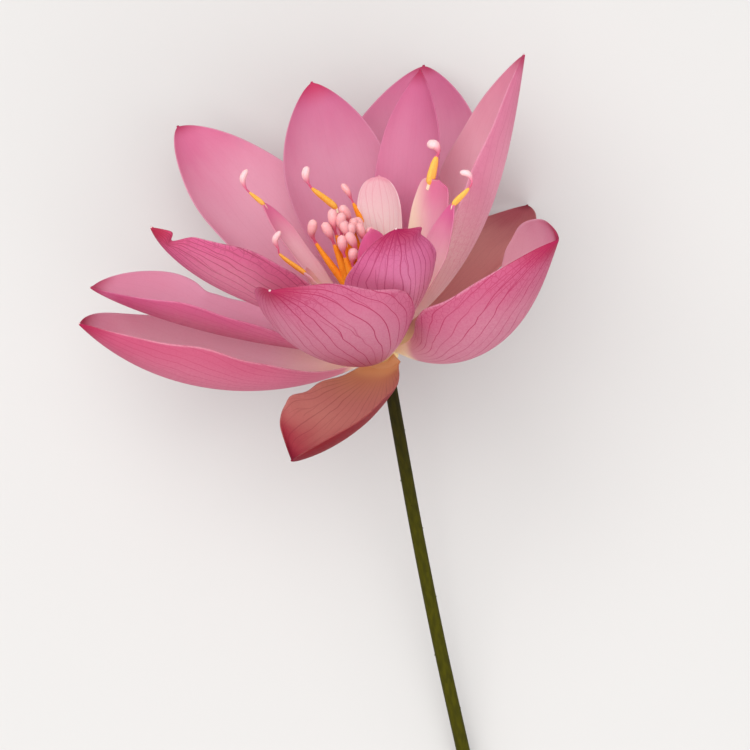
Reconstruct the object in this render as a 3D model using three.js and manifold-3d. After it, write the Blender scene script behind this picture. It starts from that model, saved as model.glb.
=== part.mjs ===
// A pink lotus flower, picked with a length of its stalk and laid down.
// Millimetres, +Z up. It rests on z = 0 on two outer petals and on the cut end of the stalk,
// with the flower's axis rising from the surface, its head towards +Y and the stalk towards -Y.
import * as THREE from "three";
import Module from "manifold-3d";

const wasm = await Module();
wasm.setup();

// ---------- driving dimensions ----------

// Where the stalk meets the flower, and how the flower's own axis lies: it rises from the surface
// by AXIS_RISE degrees and swings towards -X by AXIS_SWING degrees.
const HEAD_AT = [20.9, 31, 59.83];
const AXIS_RISE = 27;
const AXIS_SWING = 13;

const PETAL_THICKNESS = 0.8;
const ATTACHMENT_RADIUS = 5.2;
const PETAL_ROWS = 14;
const PETAL_COLUMNS = 7;
const MIDRIB_STEPS = 120;

// Each petal is a midrib that leaves the attachment ring on a bearing (turn), opening away from
// the flower's axis (lean), and a width rolled about it (cup). Values are given at the base, the
// middle and the tip, in degrees. A bearing runs clockwise from the back of the flower seen from
// above. Lengths are in millimetres: long and wide are the flattened petal, foot the half width
// where it is attached, and high the height of that place on the receptacle. belly is the place of
// the greatest width, point and shoulder sharpen the two ends, twist turns the blade about its
// midrib, and skew makes one half wider.
const PETALS = {
  // outer whorl
  outer_left: { turn: [268, 268, 270], lean: [105, 67, 28], twist: [10, 25, 20], cup: [45, 68, 50],
    long: 91, wide: 54, high: 0.5, belly: 0.58, point: 0.62, skew: 0.3, foot: 2.6 },
  outer_front: { turn: [199, 212, 257], lean: [80, 92, 96], twist: [0, 3, 8], cup: [40, 54, 52],
    long: 51.5, wide: 38.5, high: -1.3, belly: 0.74, foot: 6, shoulder: 1.6, point: 0.42 },
  outer_back_right: { turn: [38, 38, 38], lean: [84, 87.3, 84], twist: [0, 0, 0], cup: [40, 45, 40],
    long: 83, wide: 34, high: 0.4 },
  outer_back_left: { turn: [337, 337, 337], lean: [84, 78, 70], twist: [0, 0, 0], cup: [40, 45, 40],
    long: 78, wide: 32, high: -0.8 },
  // second whorl
  second_left: { turn: [286, 285, 284], lean: [82, 68, 54], twist: [15, 20, 10], cup: [45, 55, 45],
    long: 84, wide: 44, high: 2.1, belly: 0.66, shoulder: 1.7, point: 0.7, skew: 0.08, foot: 2.8 },
  second_right: { turn: [126, 128, 131], lean: [113, 48.5, 31], twist: [-32, -8, 10], cup: [58, 85, 65],
    long: 80, wide: 59, high: 2.0, belly: 0.52, point: 0.52, foot: 4.5, shoulder: 0.9 },
  second_front: { turn: [206, 208, 211], lean: [76, 43, 28], twist: [0, 0, 0], cup: [50, 70, 58],
    long: 74, wide: 56, high: 2.3, belly: 0.5, point: 0.7, skew: -0.08, foot: 4.2 },
  // third whorl
  third_back_left: { turn: [325, 325, 324], lean: [66, 53, 38], twist: [0, 0, 0], cup: [40, 45, 35],
    long: 94, wide: 38, high: 3.0, belly: 0.6, point: 0.65, skew: 0.1, shoulder: 1.7, foot: 2.8 },
  third_back_right: { turn: [21, 21, 22.5], lean: [78, 60, 37], twist: [0, 0, 0], cup: [40, 45, 40],
    long: 99, wide: 50, high: 4.4, belly: 0.62, point: 0.7, shoulder: 1.8, foot: 2.8 },
  third_left: { turn: [254, 254, 255], lean: [46, 46, 23], twist: [15, 30, 35], cup: [40, 55, 50],
    long: 78, wide: 33, high: 5.6, belly: 0.52, shoulder: 1.7 },
  // inner whorl
  inner_back: { turn: [357, 357, 357], lean: [52, 43, 28], twist: [0, 0, 0], cup: [40, 45, 40],
    long: 80.5, wide: 34, high: 6.5, belly: 0.6, point: 0.7 },
  inner_back_right: { turn: [37, 37, 37], lean: [44, 34, 28], twist: [0, 0, 0], cup: [40, 50, 40],
    long: 74.5, wide: 25, high: 8.6, belly: 0.6, skew: 0.12 },
  inner_right: { turn: [74, 62, 57], lean: [77, 38, 28], twist: [-25, -25, -28], cup: [45, 60, 55],
    long: 90, wide: 54, high: 7.4, belly: 0.48, shoulder: 1.05, skew: 0.08 },
  inner_front: { turn: [162, 167, 174], lean: [50, 37, 14], twist: [0, 0, 0], cup: [50, 55, 40],
    long: 62.5, wide: 31, high: 6.5, point: 0.7 },
};

// The petaloids are stamens whose stalk has broadened into a small petal. Each keeps an anther and
// a club, whose directions are given as [turn, lean]; the anther leaves the blade at leaves
// [share of the length, share of the half width].
const PETALOIDS = {
  petaloid_tall_right: { turn: 64, lean: 27, long: 46, wide: 11, high: 10.6, twist: 30,
    leaves: [0.86, -0.3], anther: [70, 25], reach: 9, club: [290, 42] },
  petaloid_right: { turn: 114, lean: 33, long: 47, wide: 11, high: 10.2, twist: 50, belly: 0.55,
    shoulder: 1, leaves: [0.86, 0], anther: [95, 53], reach: 7, club: [280, 30] },
  petaloid_cream: { turn: 30, lean: 17, long: 40, wide: 18, high: 11, twist: 0, point: 0.45,
    leaves: [0.68, -0.45], anther: [330, 16], reach: 6, club: [330, 28] },
  petaloid_low: { turn: 142, lean: 10, long: 33, wide: 10, high: 11, twist: 0 },
  petaloid_left_long: { turn: 304, lean: 32, long: 49, wide: 9, high: 10.6, twist: 0,
    leaves: [0.88, 0], anther: [300, 44], reach: 6, club: [80, 25] },
  petaloid_left_short: { turn: 264, lean: 28, long: 29, wide: 7, high: 10.8, twist: 0,
    leaves: [0.85, 0], anther: [285, 40], reach: 9, club: [80, 27] },
  petaloid_back_left: { turn: 345, lean: 20, long: 38, wide: 5, high: 11, twist: 0,
    leaves: [0.9, 0], anther: [320, 60], reach: 9, club: [330, 5] },
};
const PETALOID_ROWS = 9;
const PETALOID_COLUMNS = 5;
const PETALOID_RADIUS = 5.1;
const PETALOID_STATIONS = 121;
const CLUB_LENGTH = 4;

// The tuft of stamens stands on a collar round the receptacle and leans with the flower's left.
const STAMEN_COUNT = 16;
const STAMEN_LENGTH = 32;
const STRAY_STAMEN = 13;
const STRAY_SPREAD = 10;
const COLLAR_INNER = 4.2;
const COLLAR_OUTER = 5.1;
const COLLAR_BOTTOM = 13.4;
const COLLAR_TOP = 15;
const TUFT_TURN = 285;
const TUFT_SHIFT = 3;

// The receptacle's outline from its bottom to its top: [radius, height].
const RECEPTACLE = [[0, -0.9], [3.3, -0.9], [3.8, 0.8], [3.8, 16.5], [3.9, 18], [3.6, 18.8],
  [0, 19]];

// The stalk: its run below the flower, from the flower's base to its cut end, and its radii.
const STALK_TOP_RADIUS = 1.8;
const STALK_END_RADIUS = 2.15;
const STALK_RUN = [[0.1, -1.4, -0.7], [4.6, -26.5, -14], [9.9, -55, -28], [16.6, -88, -40.5],
  [24, -121, -50.5], [30.5, -150, -57.7]];
const STALK_RINGS = 19;

// ---------- directions in the flower's own frame: z along its axis, y to its back ----------

const radians = THREE.MathUtils.degToRad;

function outward(turn) {
  return new THREE.Vector3(Math.sin(radians(turn)), Math.cos(radians(turn)), 0);
}

function direction(turn, lean) {
  const along = new THREE.Vector3(0, 0, Math.cos(radians(lean)));
  return along.addScaledVector(outward(turn), Math.sin(radians(lean)));
}

// The parabola through the values at the base, the middle and the tip.
function between([base, middle, tip], t) {
  return base * (1 - t) * (1 - 2 * t) + 4 * middle * t * (1 - t) + tip * t * (2 * t - 1);
}

// ---------- petals ----------

function halfWidth({ wide, foot = 3.2, belly = 0.56, point = 0.8, shoulder = 1.3 }, t) {
  const tip = 0.5;
  if (t < belly) {
    const rise = Math.sin((Math.PI / 2) * (t / belly)) ** shoulder;
    return foot + (wide / 2 - foot) * rise;
  }
  const fall = Math.cos((Math.PI / 2) * ((t - belly) / (1 - belly)));
  return tip + (wide / 2 - tip) * Math.max(fall, 0) ** point;
}

// Stations along the midrib: the place, and the frame of the blade there.
function midrib(petal, rows, radius) {
  const place = outward(petal.turn[0]).multiplyScalar(radius);
  place.z = petal.high;
  const stations = [];
  for (let i = 0; i <= MIDRIB_STEPS; i++) {
    const t = i / MIDRIB_STEPS;
    const turn = between(petal.turn, t);
    const lean = between(petal.lean, t);
    const along = direction(turn, lean);
    const inner = direction(turn, lean - 90);
    const side = new THREE.Vector3().crossVectors(along, inner);
    const twist = radians(between(petal.twist, t));
    const normal = inner.clone().multiplyScalar(Math.cos(twist)).addScaledVector(side, Math.sin(twist));
    side.crossVectors(along, normal);
    if (i > 0) {
      const mean = along.clone().add(stations.at(-1).along).multiplyScalar(petal.long / MIDRIB_STEPS / 2);
      place.add(mean);
    }
    stations.push({ t, place: place.clone(), along, normal, side });
  }
  return Array.from({ length: rows }, (_, i) => stations[Math.round((i * MIDRIB_STEPS) / (rows - 1))]);
}

// A point of the blade's middle surface at share s of its half width, and the way its inner face looks.
function across(petal, station, s) {
  const skew = petal.skew ?? 0;
  const half = halfWidth(petal, station.t) * (s < 0 ? 1 - skew : 1 + skew);
  const angle = radians(between(petal.cup, station.t));
  const radius = half / angle;
  const place = station.place
    .clone()
    .addScaledVector(station.side, radius * Math.sin(s * angle))
    .addScaledVector(station.normal, radius * (1 - Math.cos(s * angle)));
  const facing = station.normal
    .clone()
    .multiplyScalar(Math.cos(s * angle))
    .addScaledVector(station.side, -Math.sin(s * angle));
  return { place, facing };
}

// A closed solid between two like grids of points, inner face first.
function closedBlade(inner, outer) {
  const rows = inner.length;
  const columns = inner[0].length;
  const points = [...inner.flat(), ...outer.flat()];
  const at = (layer, i, j) => layer * rows * columns + i * columns + j;
  const faces = [];
  const quad = (a, b, c, d) => faces.push(a, b, c, a, c, d);
  for (let i = 0; i < rows - 1; i++) {
    for (let j = 0; j < columns - 1; j++) {
      quad(at(0, i, j), at(0, i, j + 1), at(0, i + 1, j + 1), at(0, i + 1, j));
      faces.push(at(1, i, j), at(1, i + 1, j + 1), at(1, i, j + 1));
      faces.push(at(1, i, j), at(1, i + 1, j), at(1, i + 1, j + 1));
    }
    quad(at(0, i, 0), at(0, i + 1, 0), at(1, i + 1, 0), at(1, i, 0));
    quad(at(0, i + 1, columns - 1), at(0, i, columns - 1), at(1, i, columns - 1), at(1, i + 1, columns - 1));
  }
  for (let j = 0; j < columns - 1; j++) {
    quad(at(0, 0, j + 1), at(0, 0, j), at(1, 0, j), at(1, 0, j + 1));
    quad(at(0, rows - 1, j), at(0, rows - 1, j + 1), at(1, rows - 1, j + 1), at(1, rows - 1, j));
  }
  const blade = new THREE.BufferGeometry().setFromPoints(points);
  blade.setIndex(faces);
  return blade;
}

// The normal of the grid at a point, on the side that the inner face looks to.
function gridNormal(grid, i, j) {
  const last = (list) => list.length - 1;
  const up = grid[Math.min(i + 1, last(grid))][j].place;
  const down = grid[Math.max(i - 1, 0)][j].place;
  const right = grid[i][Math.min(j + 1, last(grid[0]))].place;
  const left = grid[i][Math.max(j - 1, 0)].place;
  const normal = up.clone().sub(down).cross(right.clone().sub(left)).normalize();
  return normal.dot(grid[i][j].facing) < 0 ? normal.negate() : normal;
}

function petalGeometry(petal, rows, columns, radius) {
  const grid = midrib(petal, rows, radius).map((station) =>
    Array.from({ length: columns }, (_, j) => across(petal, station, (2 * j) / (columns - 1) - 1)),
  );
  const face = (side) =>
    grid.map((row, i) =>
      row.map((point, j) => {
        const offset = (side * PETAL_THICKNESS) / 2;
        return point.place.clone().addScaledVector(gridNormal(grid, i, j), offset);
      }),
    );
  return closedBlade(face(1), face(-1));
}

// ---------- round pieces ----------

// A round rod along a curve, closed at both ends, with its radius given at each ring.
function rod(points, radii, sides) {
  const curve = new THREE.CatmullRomCurve3(points);
  const rings = radii.length;
  const frames = curve.computeFrenetFrames(rings - 1, false);
  const places = [];
  const faces = [];
  for (let i = 0; i < rings; i++) {
    const centre = curve.getPointAt(i / (rings - 1));
    for (let k = 0; k < sides; k++) {
      const angle = (2 * Math.PI * k) / sides;
      const spoke = centre.clone().addScaledVector(frames.normals[i], radii[i] * Math.cos(angle));
      places.push(spoke.addScaledVector(frames.binormals[i], radii[i] * Math.sin(angle)));
    }
  }
  for (let i = 0; i < rings - 1; i++) {
    for (let k = 0; k < sides; k++) {
      const a = i * sides + k;
      const b = i * sides + ((k + 1) % sides);
      faces.push(a, b, b + sides, a, b + sides, a + sides);
    }
  }
  const start = places.push(curve.getPointAt(0)) - 1;
  const end = places.push(curve.getPointAt(1)) - 1;
  for (let k = 0; k < sides; k++) {
    const next = (k + 1) % sides;
    faces.push(start, next, k);
    faces.push(end, (rings - 1) * sides + k, (rings - 1) * sides + next);
  }
  const geometry = new THREE.BufferGeometry().setFromPoints(places);
  geometry.setIndex(faces);
  return geometry;
}

// ---------- joining ----------

function toSolid(geometry) {
  const mesh = new wasm.Mesh({
    numProp: 3,
    vertProperties: new Float32Array(geometry.getAttribute("position").array),
    triVerts: new Uint32Array(geometry.index.array),
  });
  mesh.merge();
  return new wasm.Manifold(mesh);
}

function joined(geometries) {
  const { vertProperties, triVerts } = wasm.Manifold.union(geometries.map(toSolid)).getMesh();
  const geometry = new THREE.BufferGeometry();
  geometry.setAttribute("position", new THREE.BufferAttribute(vertProperties, 3));
  geometry.setIndex(new THREE.BufferAttribute(triVerts, 1));
  return geometry;
}

// ---------- petaloids ----------

// The radii of an anther, the thin neck above it and the club at its end.
const ANTHER_AND_CLUB = [0.6, 0.9, 1, 1, 0.9, 0.45, 0.45, 0.95, 1.3, 1.35, 1.1, 0.55];

function petaloidGeometry({ turn, lean, twist, leaves, anther, reach, club, ...size }) {
  const petal = { turn: [turn, turn, turn], lean: [lean + 12, lean, lean - 8], twist: [0, twist, twist],
    cup: [40, 35, 30], foot: 1.2, belly: 0.7, point: 0.6, shoulder: 1.6, ...size };
  const blade = petalGeometry(petal, PETALOID_ROWS, PETALOID_COLUMNS, PETALOID_RADIUS);
  if (!leaves) return blade;
  const [share, s] = leaves;
  const stations = midrib(petal, PETALOID_STATIONS, PETALOID_RADIUS);
  const onBlade = (t) => across(petal, stations[Math.round(t * (PETALOID_STATIONS - 1))], s).place;
  const sunk = onBlade(share - 0.1);
  const root = onBlade(share);
  const top = root.clone().addScaledVector(direction(...anther), reach);
  const neck = top.clone().addScaledVector(direction(...anther), 0.8);
  neck.addScaledVector(direction(...club), 0.8);
  const end = neck.clone().addScaledVector(direction(...club), CLUB_LENGTH);
  return joined([blade, rod([sunk, root, top, neck, end], ANTHER_AND_CLUB, 6)]);
}

// ---------- stamens ----------

// A repeatable stream of numbers from 0 to 1.
function seeded(seed) {
  let state = seed;
  return () => {
    state = (state * 16807) % 2147483647;
    return state / 2147483647;
  };
}

const STAMEN_RADII = [0.45, 0.45, 0.5, 0.95, 1, 1, 0.9, 0.45, 0.95, 1.3, 1.3, 0.55];

function stamenGeometry(index, random) {
  const turn = (360 * index) / STAMEN_COUNT;
  const collarRadius = (COLLAR_INNER + COLLAR_OUTER) / 2;
  const foot = outward(turn).multiplyScalar(collarRadius).setZ(COLLAR_BOTTOM + 0.6);
  const length = STAMEN_LENGTH * (0.82 + 0.25 * random());
  const spread = index === STRAY_STAMEN ? STRAY_SPREAD : 2 + 6 * random();
  const top = outward(turn + 30 * (random() - 0.5)).multiplyScalar(spread);
  top.addScaledVector(outward(TUFT_TURN), TUFT_SHIFT).setZ(foot.z + length);
  const knee = outward(turn).multiplyScalar(collarRadius + 0.5).setZ(foot.z + 7);
  return rod([foot, knee, top], STAMEN_RADII, 6);
}

function stamensGeometry() {
  const collar = new THREE.Shape().absarc(0, 0, COLLAR_OUTER, 0, 2 * Math.PI, false);
  collar.holes.push(new THREE.Path().absarc(0, 0, COLLAR_INNER, 0, 2 * Math.PI, true));
  const ring = new THREE.ExtrudeGeometry(collar, { depth: COLLAR_TOP - COLLAR_BOTTOM,
    bevelEnabled: false, curveSegments: 14 });
  ring.translate(0, 0, COLLAR_BOTTOM);
  const random = seeded(11);
  const stamens = Array.from({ length: STAMEN_COUNT }, (_, index) => stamenGeometry(index, random));
  return joined([mergedByPlace(ring), ...stamens]);
}

// An indexed copy whose faces share the points that lie at the same place.
function mergedByPlace(geometry) {
  const source = geometry.getAttribute("position");
  const points = [];
  const known = new Map();
  const faces = [];
  for (let i = 0; i < source.count; i++) {
    const point = new THREE.Vector3().fromBufferAttribute(source, i);
    const key = point.toArray().map((value) => value.toFixed(4)).join(" ");
    if (!known.has(key)) known.set(key, points.push(point) - 1);
    faces.push(known.get(key));
  }
  const merged = new THREE.BufferGeometry().setFromPoints(points);
  merged.setIndex(faces);
  return merged;
}

// ---------- the flower ----------

function material(color, roughness = 0.5) {
  return new THREE.MeshStandardMaterial({ color, roughness, metalness: 0, side: THREE.FrontSide });
}

function named(name, geometry, color, roughness) {
  geometry.computeVertexNormals();
  const mesh = new THREE.Mesh(geometry, material(color, roughness));
  mesh.name = name;
  return mesh;
}

const PETAL_COLOR = 0xdf86ad;
const SHADED_PETAL_COLOR = 0xc87f78;
const PETALOID_COLOR = 0xf0cfc4;
const ANTHER_COLOR = 0xf2a227;
const RECEPTACLE_COLOR = 0xcfc06a;
const STALK_COLOR = 0x6a6a1c;

const head = new THREE.Group();
head.rotation.x = radians(AXIS_RISE - 90);
for (const [name, petal] of Object.entries(PETALS)) {
  const dusky = name === "outer_front" || name === "outer_back_right";
  const geometry = petalGeometry(petal, PETAL_ROWS, PETAL_COLUMNS, ATTACHMENT_RADIUS);
  head.add(named("petal_" + name, geometry, dusky ? SHADED_PETAL_COLOR : PETAL_COLOR));
}
for (const [name, petaloid] of Object.entries(PETALOIDS)) {
  head.add(named(name, petaloidGeometry(petaloid), PETALOID_COLOR));
}
head.add(named("stamens", stamensGeometry(), ANTHER_COLOR, 0.6));

const outline = RECEPTACLE.map(([radius, height]) => new THREE.Vector2(radius, height));
const receptacle = new THREE.LatheGeometry(outline, 24);
receptacle.rotateX(Math.PI / 2);
head.add(named("receptacle", receptacle, RECEPTACLE_COLOR, 0.6));

const swung = new THREE.Group();
swung.rotation.z = radians(AXIS_SWING);
swung.position.set(...HEAD_AT);
swung.add(head);

const run = STALK_RUN.map((point) => new THREE.Vector3(...point).add(swung.position));
const stalkRadii = Array.from({ length: STALK_RINGS }, (_, i) =>
  THREE.MathUtils.lerp(STALK_TOP_RADIUS, STALK_END_RADIUS, i / (STALK_RINGS - 1)),
);
const stalk = named("stalk", rod(run, stalkRadii, 12), STALK_COLOR, 0.55);

const flower = new THREE.Group();
flower.add(swung, stalk);

export default flower;
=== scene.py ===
"""A pink lotus flower, picked with a length of its stalk and laid down.

Lengths are in millimetres where a shape is worked out and in metres where Blender gets it. A place on
the flower is given in its own frame, with z along its axis and y to its back, and a direction as a
bearing (turn, clockwise from the back) and an opening away from the axis (lean), in degrees.
"""

import math

import bpy
import numpy as np
from mathutils import Matrix, Vector


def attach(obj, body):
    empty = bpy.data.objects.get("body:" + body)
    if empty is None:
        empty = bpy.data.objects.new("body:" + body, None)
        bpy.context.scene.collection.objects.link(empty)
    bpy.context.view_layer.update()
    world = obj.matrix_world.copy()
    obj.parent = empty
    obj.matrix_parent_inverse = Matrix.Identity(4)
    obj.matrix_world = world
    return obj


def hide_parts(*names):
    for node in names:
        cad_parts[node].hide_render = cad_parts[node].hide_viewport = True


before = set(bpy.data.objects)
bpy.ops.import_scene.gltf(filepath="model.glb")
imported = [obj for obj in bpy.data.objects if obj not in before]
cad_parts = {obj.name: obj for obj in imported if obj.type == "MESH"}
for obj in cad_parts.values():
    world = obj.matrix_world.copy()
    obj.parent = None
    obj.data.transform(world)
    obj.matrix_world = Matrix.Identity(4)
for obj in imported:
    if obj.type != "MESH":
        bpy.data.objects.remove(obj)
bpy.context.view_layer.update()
MM = 0.001

# ---------- the surface, the light and the view ----------
# The flower lies on a plain pale table top under soft studio light. The view is straight down on it,
# so that its top is the side that the flower's head points to.

HEAD_AT = np.array([20.9, 31.0, 59.83])  # where the stalk meets the flower
VIEW_FROM_HEAD = np.array([-3.2, -5.2, 750.0])
LENS = 124.13
SENSOR_WIDTH = 36
TABLE_HALF_SIZE = 3


def add_node(tree, kind, inputs=None, **settings):
    """A new shader node. inputs holds values, or sockets to link, by the input's name or number."""
    made = tree.nodes.new("ShaderNode" + kind)
    for name, value in settings.items():
        setattr(made, name, value)
    for key, value in (inputs or {}).items():
        if isinstance(value, bpy.types.NodeSocket):
            tree.links.new(value, made.inputs[key])
        else:
            made.inputs[key].default_value = value
    return made


def mixed(tree, factor, first, second, blend="MIX"):
    inputs = {0: factor, 6: first, 7: second}
    return add_node(tree, "Mix", inputs, data_type="RGBA", blend_type=blend).outputs[2]


def colour(red, green, blue):
    """A colour given by its 0 to 255 values, as the linear values that a shader takes."""
    linear = [((value / 255 + 0.055) / 1.055) ** 2.4 for value in (red, green, blue)]
    return (*linear, 1)


def new_material(name):
    """A material with its Principled shader, and its node tree."""
    made = bpy.data.materials.new(name)
    made.use_nodes = True
    return made, made.node_tree, made.node_tree.nodes["Principled BSDF"]


def new_object(name, points, faces, material, smooth=True):
    """A mesh object from points in metres."""
    mesh = bpy.data.meshes.new(name)
    mesh.from_pydata(np.asarray(points).tolist(), [], faces)
    mesh.validate()
    mesh.materials.append(material)
    mesh.polygons.foreach_set("use_smooth", [smooth] * len(mesh.polygons))
    made = bpy.data.objects.new(name, mesh)
    bpy.context.scene.collection.objects.link(made)
    return made


view = bpy.data.objects.new("view", bpy.data.cameras.new("view"))
view.data.lens = LENS
view.data.sensor_width = SENSOR_WIDTH
view.location = (HEAD_AT + VIEW_FROM_HEAD) * MM
bpy.context.scene.collection.objects.link(view)
bpy.context.scene.camera = view

table_finish, tree, shader = new_material("pale_table")
grain = add_node(tree, "TexNoise", {"Scale": 6.0, "Detail": 4.0}).outputs["Fac"]
tree.links.new(mixed(tree, grain, colour(202, 201, 199), colour(208, 207, 205)), shader.inputs["Base Color"])
shader.inputs["Roughness"].default_value = 0.85
corners = [(-1, -1, 0), (1, -1, 0), (1, 1, 0), (-1, 1, 0)]
table = new_object("table_top", np.array(corners) * TABLE_HALF_SIZE, [(0, 1, 2, 3)], table_finish, False)


def soft_light(name, place, size, power, tint):
    """A square studio light that faces the flower's head."""
    lamp = bpy.data.objects.new(name, bpy.data.lights.new(name, "AREA"))
    lamp.data.size = size
    lamp.data.energy = power
    lamp.data.color = tint
    lamp.location = place
    toward = Vector(HEAD_AT * MM) - lamp.location
    lamp.rotation_euler = toward.to_track_quat("-Z", "Y").to_euler()
    bpy.context.scene.collection.objects.link(lamp)


soft_light("key_light", Vector((-0.3, 0.35, 1.35)), 1.2, 13.4, (1.0, 0.985, 0.965))
soft_light("fill_light", Vector((0.34, -0.6, 1.12)), 1.2, 6.6, (1.0, 0.995, 0.99))

world = bpy.data.worlds.new("studio")
world.use_nodes = True
world.node_tree.nodes["Background"].inputs["Color"].default_value = (0.98, 0.98, 1.0, 1)
world.node_tree.nodes["Background"].inputs["Strength"].default_value = 0.72
bpy.context.scene.world = world
bpy.context.scene.view_settings.view_transform = "Standard"

# ---------- the petals ----------
# Fourteen petals in four whorls: thin, cupped, slightly translucent blades that are thickest along the
# middle, with fanning veins and a small hard point at the tip. Each grows from the receptacle by its
# own fleshy base. The outer face is the deeper pink, and its veins show more.

AXIS_RISE = 27
AXIS_SWING = 13
ATTACHMENT_RADIUS = 5.2
PETAL_ROWS = 110
PETAL_COLUMNS = 48
MIDRIB_STEPS = 400
BLADE_MIDDLE = 0.8  # thickness
BLADE_MARGIN = 0.3
MARGIN_CROWDING = 0.35  # how much closer the columns stand at the margins
MARGIN_WAVE = 0.35
WAVES_ALONG = 3.3
WAVE_SLANT = 0.4
ROOT_SHARE = 0.4  # how far the root runs in towards the axis
ROOT_ROWS = 4
POINT_LENGTH = 0.5
POINT_HALF_WIDTH = 0.32
TIP_TAPER = 0.6  # the length over which the blade thins out at its tip

head_turn = Matrix.Rotation(math.radians(AXIS_SWING), 4, "Z") @ Matrix.Rotation(
    math.radians(AXIS_RISE - 90), 4, "X"
)
head_place = np.array((Matrix.Translation(Vector(HEAD_AT)) @ head_turn).to_3x3())


def to_world(points):
    """Places in the flower's own frame, in millimetres, as places in the scene, in metres."""
    return (np.asarray(points) @ head_place.T + HEAD_AT) * MM


def outward(turn):
    angle = np.radians(turn)
    return np.stack([np.sin(angle), np.cos(angle), 0 * angle], axis=-1)


def direction(turn, lean):
    up = np.cos(np.radians(lean))[..., None] * np.array([0, 0, 1.0])
    return up + np.sin(np.radians(lean))[..., None] * outward(turn)


def between(values, t):
    """The parabola through the values at the base, the middle and the tip."""
    base, middle, tip = values
    return base * (1 - t) * (1 - 2 * t) + 4 * middle * t * (1 - t) + tip * t * (2 * t - 1)


def half_width(petal, t):
    foot, belly = petal.get("foot", 3.2), petal.get("belly", 0.56)
    swell = np.sin(np.pi / 2 * np.clip(t / belly, 0, 1)) ** petal.get("shoulder", 1.3)
    lower = foot + (petal["wide"] / 2 - foot) * swell
    end = 1 - POINT_LENGTH / petal["long"]
    fall = np.cos(np.pi / 2 * np.clip((t - belly) / (end - belly), 0, 1))
    upper = petal["wide"] / 2 * np.maximum(fall, 0) ** petal.get("point", 0.8)
    tip = POINT_HALF_WIDTH * np.sqrt(np.clip((1.005 - t) * petal["long"] / POINT_LENGTH, 0, 1))
    return np.hypot(np.where(t < belly, lower, upper), np.where(t > belly, tip, 0))


def midrib(petal, t, radius):
    """Places along the midrib at shares t of its length, with the blade's side and its normal there."""
    fine = np.linspace(0, 1, MIDRIB_STEPS + 1)
    turn, lean = between(petal["turn"], fine), between(petal["lean"], fine)
    twist = np.radians(between(petal.get("twist", (0, 0, 0)), fine))[:, None]
    along, inner = direction(turn, lean), direction(turn, lean - 90)
    side = np.cross(along, inner)
    normal = inner * np.cos(twist) + side * np.sin(twist)
    side = np.cross(along, normal)
    start = outward(np.array(float(petal["turn"][0]))) * radius + np.array([0, 0, petal["high"]])
    steps = (along[1:] + along[:-1]) / 2 * petal["long"] / MIDRIB_STEPS
    place = start + np.concatenate([np.zeros((1, 3)), np.cumsum(steps, axis=0)])

    def at(values):
        return np.stack([np.interp(t, fine, values[:, axis]) for axis in range(3)], axis=-1)

    return at(place), at(side), at(normal)


def blade_middle(petal, t, s, radius):
    """The blade's middle surface at shares t of its length and s of its half width."""
    place, side, normal = midrib(petal, t, radius)
    skew = petal.get("skew", 0)
    half = half_width(petal, t)[:, None] * np.where(s < 0, 1 - skew, 1 + skew)
    for notch_t, notch_side, long, depth in petal.get("notches", ()):
        dip = depth * np.exp(-(((t[:, None] - notch_t) / long) ** 2))
        half = half * (1 - dip * (s * notch_side > 0))
    angle = np.radians(between(petal["cup"], t))[:, None]
    curl = half / angle
    across, deep = curl * np.sin(s * angle), curl * (1 - np.cos(s * angle))
    wave = petal.get("wave", MARGIN_WAVE) * np.abs(s) ** 4 * np.sin(np.pi * t[:, None])
    waves = WAVES_ALONG * t[:, None] + WAVE_SLANT * s
    deep = deep + wave * np.sin(2 * np.pi * waves + petal["turn"][0])
    points = place[:, None] + side[:, None] * across[..., None] + normal[:, None] * deep[..., None]
    return points, half * np.ones_like(s)


def grid_normals(points):
    up, right = np.gradient(points, axis=0), np.gradient(points, axis=1)
    normal = np.cross(right, up)
    return normal / np.linalg.norm(normal, axis=-1, keepdims=True)


def band(lower, upper, sides):
    """The faces between two rings, each given by the number of its first point."""
    steps = [(k, (k + 1) % sides) for k in range(sides)]
    return [(lower + k, lower + follows, upper + follows, upper + k) for k, follows in steps]


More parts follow.
